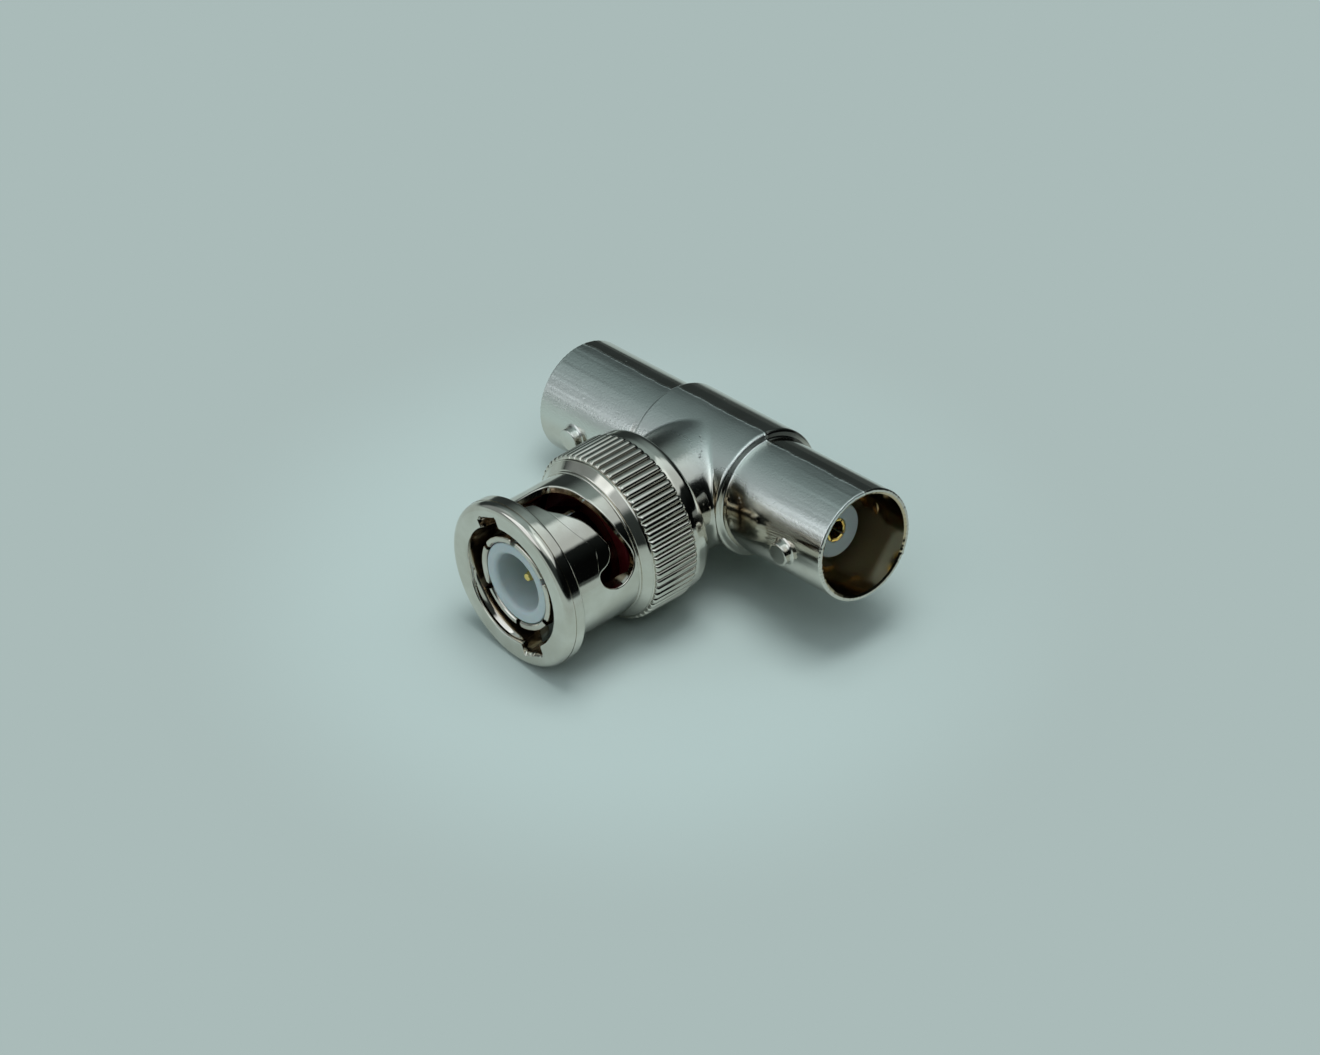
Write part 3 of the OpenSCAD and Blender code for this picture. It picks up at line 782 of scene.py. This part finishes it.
def crossbar():
    """Crossbar and both jacks: a closed profile (radius, x) carried round the X axis.

    The jacks' rims are cut unevenly: near them the radius and x vary with a sum of sines of the
    angle, and the right one has a small nib, a bell 1.4 degrees wide.
    """
    rim, throat, lead, rim_in = 0.15, HALF - 4.9, HALF - 2.3, 4.48
    outside = joined(
        arc(BARREL_R - rim, HALF - rim, rim, 90, 0, 5),
        line((BARREL_R, HALF - rim), (BARREL_R, CENTRE_HALF + 0.2)),
        arc(BARREL_R + 0.2, CENTRE_HALF + 0.2, 0.2, 180, 255, 5),
        arc(CENTRE_R - CENTRE_EDGE, CENTRE_HALF - CENTRE_EDGE, CENTRE_EDGE, 70, 0, 7),
        [(CENTRE_R, CENTRE_HALF - 0.37), (CENTRE_R, 2.5), (CENTRE_R, 0)])
    inside = joined(
        line((CORE_R, 0), (CORE_R, SHOULDER_X)),
        line((CORE_R, SHOULDER_X), (CONTACT_R, SHOULDER_X)),
        line((CONTACT_R, SHOULDER_X), (CONTACT_R, throat)),
        ramp((CONTACT_R, throat), (MOUTH_R, lead), 13),
        line((MOUTH_R, lead), (MOUTH_R, HALF - 0.12)),
        line((MOUTH_R, HALF - 0.12), (4.53, HALF)),
        line((4.53, HALF), (BARREL_R - rim, HALF)))
    right = joined(inside, outside)
    left = right[::-1] * np.array([1, -1])
    points, faces = turned(joined(right, left)[:-1], 360, round_x)
    x, y, z = points.T
    turn = np.arctan2(ARM - y, z)
    uneven = sum(np.sin(k * turn + k * k) for k in (5, 13, 29, 47)) / 4
    near = eased(np.abs(x), HALF - 0.20, HALF - 0.02) * (np.hypot(y - ARM, z) > rim_in)
    nib = 0.10 * near * np.exp(-((np.degrees(turn) + 125) / 1.4) ** 2) * (x > 0)
    spread = 1 + near * (0.005 * uneven + 0.002 * np.sin(71 * turn)) + nib / BARREL_R
    x = x - np.sign(x) * near * 0.05 * np.clip(uneven + 0.25 * np.sin(83 * turn), 0, None)
    return np.stack([x, ARM + (y - ARM) * spread, z * spread], -1), faces


def stem():
    """Stem and spigot about Y, whose back flares into the crossbar through a soft fillet.

    Along each angle the flare is a quadratic curve from the stem's side to a point on the
    crossbar, whose control point is where the two surfaces meet.
    """
    angle = np.arange(240) * 1.5
    s, c = np.sin(np.radians(angle)), np.cos(np.radians(angle))
    spigot_r, groove_r, inner_r, seat = 4.5, 4.12, 3.97, 13.6

    def bar_y(rho):
        over = np.clip(np.abs(rho * s) - (CENTRE_HALF - CENTRE_EDGE), 0, CENTRE_EDGE - 0.01)
        r = CENTRE_R - CENTRE_EDGE + np.sqrt(CENTRE_EDGE ** 2 - over ** 2)
        return ARM - np.sqrt(np.maximum(r ** 2 - (rho * c) ** 2, 0.2))

    meet = bar_y(STEM_R)
    slope = STEM_R * c ** 2 / np.maximum(ARM - meet, 0.2)
    reach = 0.34 * np.minimum(1, (CENTRE_HALF - 0.12 - STEM_R * np.abs(s)) / 0.5 + 0.15)
    rho = STEM_R + reach / np.sqrt(1 + slope ** 2)
    far = bar_y(rho)
    near = meet - 0.75
    t = np.linspace(0, 1, 9)[:, None]
    flare_r = (1 - t ** 2) * STEM_R + t ** 2 * rho
    flare_y = (1 - t) ** 2 * near + 2 * t * (1 - t) * meet + t ** 2 * far
    deep_r = rho + 0.1 / np.sqrt(1 + slope ** 2)
    buried = round_y(np.stack([deep_r, rho - 0.3]), np.stack([bar_y(deep_r) + 0.06, far + 0.5]), angle)
    front = joined(
        line((CORE_R, 17.6), (CORE_R, seat)), line((CORE_R, seat), (inner_r, seat)),
        line((inner_r, seat), (inner_r, 9.4)), line((inner_r, 9.4), (spigot_r - 0.15, 9.4)),
        line((spigot_r - 0.15, 9.4), (spigot_r, 9.55)), line((spigot_r, 9.55), (spigot_r, 10.65)),
        line((spigot_r, 10.65), (groove_r, 10.65)), line((groove_r, 10.65), (groove_r, 11.3)),
        line((groove_r, 11.3), (spigot_r, 11.3)), line((spigot_r, 11.3), (spigot_r, 14.75)),
        line((spigot_r, 14.75), (STEM_R - 0.1, 14.75)), arc(STEM_R - 0.1, 14.85, 0.1, -90, 0, 4),
        [(STEM_R, STEM_FRONT)])
    side_y = STEM_FRONT + (near - STEM_FRONT) * np.array([0.3, 0.7, 0.97])[:, None]
    return grid(np.concatenate([
        round_y(front[:, :1], front[:, 1:], angle), round_y(STEM_R, side_y, angle),
        round_y(flare_r, flare_y, angle), buried]))


def stud(x, side):
    """A bayonet stud: a round post with a soft foot on the barrel and a bevelled tip.

    A foot's row follows the barrel at sqrt(barrel radius ** 2 - (row radius * cos t) ** 2).
    """
    n, bottom = 72, 4.2
    t = np.arange(n) * 2 * np.pi / n
    foot = np.array([(1.26, -0.03), (1.2, 0.004), (1.12, 0.03), (1.06, 0.08), (1.02, 0.15), (1.0, 0.24)])
    foot_y = np.sqrt(BARREL_R ** 2 - (foot[:, :1] * np.cos(t)) ** 2) + foot[:, 1:]
    tip = joined([(1.0, 5.2)], arc(0.88, STUD_TIP - 0.12, 0.12, 0, 90, 5), [(0.8, STUD_TIP), (0, STUD_TIP)])
    r = np.concatenate([[[0], [1.2]], foot[:, :1], tip[:, :1]])
    y = np.concatenate([np.full((2, n), bottom), foot_y, np.broadcast_to(tip[:, 1:], (len(tip), n))])
    rows = np.stack([x + r * np.sin(t), ARM + side * y, np.broadcast_to(r * np.cos(t), y.shape)], -1)
    return grid(rows, wrap_rows=False)


studs = [stud(x, side) for x in (-STUD_X, STUD_X) for side in (-1, 1)]
piece("tee_casting", [crossbar(), stem(), *studs], "tee", CASTING_METAL, ["tee_body"])


# ---------------------------------------------------------------- plug

# The profiles below are (radius, height) along the plug's axis or the crossbar's, in millimetres.

def tined_sleeve():
    """Contact sleeve: a turned wall split into six tines by slits, with raised lips in front.

    Beside the slits the tines' edges sink by up to 0.05, easing out over 1.2 degrees.
    """
    tines, slit_half, slit_end, back, start = 6, 0.25, 6.4, 13.6, 4
    pitch = 360 / tines
    w = math.degrees(slit_half / 4.0)
    inside = np.array([0, 0.25, 0.6, 1.2, 3, 7, 14, pitch / 2 - w])
    tine = np.sort(np.concatenate([[-w / 3, w / 3], w + inside, pitch - w - inside[-2::-1]]))
    a = start + np.concatenate([tine + k * pitch for k in range(tines)])
    outer = joined(
        [(3.9, 0.0)], arc(LIP_R - 0.14, 0.14, 0.14, -90, 0, 5), line((LIP_R, 0.14), (LIP_R, 1.1)),
        arc(LIP_R - 0.3, 1.14, 0.3, 0, 25, 3), line((4.10, 1.35), (3.99, 2.05)),
        arc(4.27, 2.25, 0.3, 205, 180, 3),
        [(TINE_R, y) for y in (2.3, 3.6, 5.0, 6.3, slit_end, 6.5, 9, back)])
    inner_r = np.interp(outer[:, 1], [0, 0.12, 14], [3.74, TINE_BORE_R, TINE_BORE_R])
    inner_r[0] = outer[0, 0]
    from_slit = np.abs((a - start + pitch / 2) % pitch - pitch / 2) - w
    sunk = 0.05 * (1 - eased(np.clip(from_slit, 0, None), 0, 1.2))
    split = (outer[:, 1] <= slit_end + 1e-6)[:, None]
    in_front = (np.arange(len(outer)) < 3)[:, None]
    outer_grid = round_y(outer[:, :1] - sunk * split, outer[:, 1:] + 0.6 * sunk * in_front, a)
    middle = (a + np.append(a[1:], a[-1] + 0.1)) / 2
    in_slit = np.abs((middle - start + pitch / 2) % pitch - pitch / 2) < w - 1e-6
    return walled(outer_grid, round_y(inner_r[:, None], outer[:, 1:], a), ~(split[1:] & in_slit))


piece("contact_sleeve_skin", [tined_sleeve()], "tee", TURNED_METAL, ["contact_sleeve"])

plug_core = joined(
    line((0.95, 5.5), (2.15, 5.5)), arc(2.15, 5.15, 0.35, 90, 0, 6), line((2.5, 5.15), (2.5, 0.5)),
    arc(2.9, 0.5, 0.4, 180, 270, 8), line((2.9, 0.1), (3.43, 0.1)), arc(3.43, 0.22, 0.12, -90, 0, 5),
    line((3.55, 0.22), (3.55, 13.2)), line((3.55, 13.2), (3.3, 13.2)), line((3.3, 13.2), (3.3, 18)),
    line((3.3, 18), (0.95, 18)), line((0.95, 18), (0.95, 5.5)))[:-1]
piece("plug_insulator_skin", [turned(plug_core, 160)], "tee", WHITE, ["plug_insulator"])

pin = joined(
    [(0, 1.2)], line((0.1, 1.2), (0.26, 1.2)), arc(0.26, 1.28, 0.08, -90, -20, 4),
    line((0.36, 1.38), (0.62, 2.4)), arc(0.38, 2.62, 0.3, -25, 0, 4), line((0.68, 2.7), (0.68, 5.3)),
    line((0.68, 5.3), (0.93, 5.36)), line((0.93, 5.36), (0.93, 20.4)), line((0.93, 20.4), (0.8, 20.4)),
    line((0.8, 20.4), (0.8, 22)), [(0, 22)])
piece("centre_pin_skin", [turned(pin, 96, closed=False)], "tee", GOLD, ["centre_pin"])

gasket = joined(
    line((3.98, 9.38), (3.98, 7.52)), line((3.98, 7.52), (5.0, 7.5)), arc(4.98, 7.72, 0.22, -90, 0, 6),
    line((5.2, 7.72), (5.2, 9.25)), line((5.2, 9.25), (5.05, 9.38)), line((5.05, 9.38), (3.98, 9.38)))[:-1]
piece("sealing_gasket_skin", [turned(gasket, 128)], "tee", RED, ["sealing_gasket"])


# ---------------------------------------------------------------- jacks

def jack_core(side):
    """White insulator of a jack, with its nose round the socket."""
    p = joined(
        line((1.3, 1.4), (CORE_R, 1.4)), line((CORE_R, 1.4), (CORE_R, SHOULDER_X)),
        line((CORE_R, SHOULDER_X), (2.35, SHOULDER_X + 0.01)),
        line((2.35, SHOULDER_X + 0.01), (2.35, NOSE_X - 0.15)),
        arc(2.2, NOSE_X - 0.15, 0.15, 0, 90, 6), line((2.2, NOSE_X), (1.12, NOSE_X)),
        arc(1.12, NOSE_X - 0.1, 0.1, 90, 180, 3), line((1.02, NOSE_X - 0.1), (1.02, 3)),
        line((1.02, 3), (1.3, 3)), line((1.3, 3), (1.3, 1.4)))[:-1]
    return turned(p * np.array([1, side]), 144, round_x)


def socket(side):
    """Gold socket: a tube whose front is split by four slits, with a bevelled mouth."""
    slits, slit_back, bore_r, wall_r = 4, NOSE_X - 3.62, 0.7, 1.02
    w = math.degrees(0.08 / 0.86)
    leaf = np.array([w, w + 1.5, w + 6, 45, 90 - w - 6, 90 - w - 1.5, 90 - w])
    a = 45 + np.concatenate([leaf + 90 * k for k in range(slits)])
    outer = joined([(0.86, NOSE_X - 0.02)], arc(0.95, NOSE_X - 0.09, 0.07, 90, 0, 4),
                   [(wall_r, x) for x in (NOSE_X - 1.0, NOSE_X - 3.0, NOSE_X - 3.6, NOSE_X - 3.65, 3.0)])
    inner_r = np.interp(NOSE_X - outer[:, 1], [0.02, 0.16, NOSE_X], [0.84, bore_r, bore_r])
    inner_r[0] = outer[0, 0]
    outside = round_x(outer[:, :1], outer[:, 1:] * side, a)
    inside = round_x(inner_r[:, None], outer[:, 1:] * side, a)
    in_slit = np.arange(len(a)) % len(leaf) == len(leaf) - 1
    return walled(outside, inside, ~((outer[1:, 1:] > slit_back) & in_slit))


def socket_back(side):
    """Plug that closes the socket's bore."""
    p = np.array([(0, 9.2), (0.71, 9.6), (0.9, 9.6), (0.9, 9.0), (0, 9.0)])
    return turned(p * np.array([1, side]), 48, round_x, closed=False)


for label, side in (("right", 1), ("left", -1)):
    piece(label + "_insulator_skin", [jack_core(side)], "tee", WHITE, [label + "_insulator"])
    piece(label + "_socket_skin", [socket(side), socket_back(side)], "tee", GOLD, [label + "_socket"])


# ---------------------------------------------------------------- set, lights and camera

# The part lies on its nut and its left jack, so the room's upright leans along X.
UP = Vector((0.144, 0.0, 0.9896)).normalized()
VIEW = Vector((0.6657, -0.5111, 0.5438)).normalized()
AWAY = (UP * VIEW.dot(UP) - VIEW).normalized()
ACROSS = AWAY.cross(UP)
FLOOR_DROP = 7.27
FAR_FLOOR = (0.402, 0.497, 0.485)
BACKDROP = (0.40, 0.495, 0.483)
BLACK = (0, 0, 0)


def toward(azimuth, elevation):
    """Direction in the room: azimuth 0 looks away from the camera, 90 to its right."""
    a, e = math.radians(azimuth), math.radians(elevation)
    return (AWAY * math.cos(a) + ACROSS * math.sin(a)) * math.cos(e) + UP * math.sin(e)


def floor():
    """Pale board under the part, tilted as the part lies on it.

    Seen by the camera or in the metal, it turns into one even colour 20 to 40 mm out; reflections
    of it fade further out, and behind the part.
    """
    n = 48
    t = (np.arange(n) * 2 * np.pi / n)[:, None]
    r = np.array([0.001, 60, 200, 900])[:, None, None]
    middle = np.array(UP) * -FLOOR_DROP + np.array([0, ARM * 0.55, 0])
    ring = np.cos(t) * np.array(ACROSS) + np.sin(t) * np.array(AWAY)
    points, faces = grid(middle + r * ring, wrap_rows=False)
    mesh = bpy.data.meshes.new("floor")
    mesh.from_pydata((points * MM).tolist(), [], faces.tolist())
    ob = bpy.data.objects.new("floor", mesh)
    bpy.context.scene.collection.objects.link(ob)
    m, tree, b = material("floor_board", (0.56, 0.64, 0.62), 0.9, 0.0)
    b.inputs["Specular IOR Level"].default_value = 0.1
    coords = position(tree)[0]
    off = add(tree, "ShaderNodeVectorMath", {0: coords, 1: (0, 12, -7)}, operation="SUBTRACT").outputs[0]
    far = add(tree, "ShaderNodeVectorMath", {0: off}, operation="LENGTH").outputs["Value"]
    behind = dot(tree, coords, tuple(toward(50, 0)))
    path = add(tree, "ShaderNodeLightPath").outputs
    seen = maths(tree, "MAXIMUM", path["Is Camera Ray"], path["Is Glossy Ray"])
    fade = maths(tree, "MAXIMUM", band(tree, far, 60, 300, 0.0, 0.55), band(tree, behind, 40, 75, 0.0, 0.86))
    strength = minus(tree, 1.0, times(tree, path["Is Glossy Ray"], fade))
    even = add(tree, "ShaderNodeEmission", {"Color": (*FAR_FLOOR, 1), "Strength": strength})
    share = times(tree, band(tree, far, 20, 40), seen)
    both = add(tree, "ShaderNodeMixShader", {0: share, 1: b.outputs[0], 2: even.outputs[0]})
    tree.links.new(both.outputs[0], tree.nodes["Material Output"].inputs["Surface"])
    mesh.materials.append(m)


def overhead_light():
    """Square area light half a metre over the part, kept out of the metal's reflections."""
    up = toward(20, 87)
    data = bpy.data.lights.new("overhead", "AREA")
    data.size = 0.26
    data.energy = 1.16
    data.color = (0.94, 1.0, 1.0)
    ob = bpy.data.objects.new("overhead", data)
    ob.location = up * 0.5 + Vector((0, 0.012, 0))
    ob.rotation_mode = "QUATERNION"
    ob.rotation_quaternion = up.to_track_quat("Z", "Y")
    ob.visible_glossy = False
    bpy.context.scene.collection.objects.link(ob)


def camera():
    """Long lens from the right, in front and above."""
    az, el, roll = map(math.radians, (52.4794, 32.9431, -6.5610))
    reach, shift_right, shift_up = 627.760, -5.00546, -4.74624
    back = Vector((math.sin(az) * math.cos(el), -math.cos(az) * math.cos(el), math.sin(el)))
    level = Vector((math.cos(az), math.sin(az), 0))
    upright = back.cross(level)
    right = level * math.cos(roll) + upright * math.sin(roll)
    up = upright * math.cos(roll) - level * math.sin(roll)
    data = bpy.data.cameras.new("camera")
    data.sensor_width = 36
    data.lens = 211.93931
    data.clip_start, data.clip_end = 0.01, 10
    ob = bpy.data.objects.new("camera", data)
    turn = Matrix((right, up, back)).transposed().to_4x4()
    turn.translation = (back * reach + right * shift_right + up * shift_up + Vector((0, ARM, 0))) * MM
    ob.matrix_world = turn
    bpy.context.scene.collection.objects.link(ob)
    bpy.context.scene.camera = ob


def softbox_group():
    """Mask of a soft-edged rectangle in the surround, seen from its middle.

    With the look direction D, the rectangle's coordinates are D.across / D.facing and
    D.along / D.facing; each falls from 1 to 0 over the soft margin beyond half its size.
    """
    vectors = [(label, "Vector") for label in ("Look", "Facing", "Across", "Along")]
    g, i, o = group("softbox", ("Width", "Height", "Soft"), vectors, [("Mask", "Float")])
    ahead = dot(g, i["Look"], i["Facing"])
    safe = maths(g, "MAXIMUM", ahead, 0.02)
    mask = maths(g, "GREATER_THAN", ahead, 0.02)
    for axis, size in (("Across", "Width"), ("Along", "Height")):
        off = maths(g, "ABSOLUTE", maths(g, "DIVIDE", dot(g, i["Look"], i[axis]), safe))
        inside = minus(g, plus(g, i[size], i["Soft"]), off)
        mask = times(g, mask, band(g, maths(g, "DIVIDE", inside, i["Soft"], clamp=True), 0.0, 1.0))
    g.links.new(mask, o["Mask"])
    return g


SOFTBOX = softbox_group()


# Soft boxes and cards round the set: azimuth, elevation, tilt, half width, half height, soft margin,
# radiance and colour.
BOXES = [(-108, 22, -38, 0.287, 0.303, 0.08, 1.0, (0.93, 1.0, 1.06)),
         (-157, 60, -51, 0.208, 0.555, 0.22, 0.45, (0.93, 1.0, 1.06)),
         (118, 70, 0, 0.60, 0.375, 0.12, 0.62, (0.90, 1.02, 1.05)),
         (-76, 24, 0, 0.22, 0.38, 0.32, 0.22, (0.90, 1.02, 1.05))]


def world():
    """Dark room with pale boxes and cards: black at the horizon and on one side, grey higher up.

    The camera sees the backdrop's colour instead.
    """
    w = bpy.data.worlds.new("studio")
    w.use_nodes = True
    t = w.node_tree
    look = add(t, "ShaderNodeTexCoord").outputs["Generated"]
    base = times(t, band(t, dot(t, look, tuple(UP)), 0.35, 0.95, 0.04, 0.36),
                 band(t, dot(t, look, tuple(toward(110, 0))), -0.1, 0.6, 1.0, 0.06))
    total = mix(t, base, BLACK, (0.80, 1.04, 1.04))
    for az, el, tilt, wide, high, soft, radiance, colour in BOXES:
        facing = toward(az, el)
        across = Matrix.Rotation(math.radians(tilt), 3, facing) @ facing.cross(UP).normalized()
        mask = placed(t, SOFTBOX, Look=look, Facing=tuple(facing), Across=tuple(across),
                      Along=tuple(across.cross(facing)), Width=wide, Height=high, Soft=soft)["Mask"]
        glow = mix(t, mask, BLACK, tuple(c * radiance for c in colour))
        total = add(t, "ShaderNodeMix", {0: 1.0, 6: total, 7: glow}, data_type="RGBA",
                    blend_type="ADD").outputs[2]
    seen = add(t, "ShaderNodeLightPath").outputs["Is Camera Ray"]
    t.links.new(mix(t, seen, total, BACKDROP), t.nodes["Background"].inputs["Color"])
    bpy.context.scene.world = w


floor()
world()
overhead_light()
camera()
bpy.context.scene.view_settings.view_transform = "Standard"
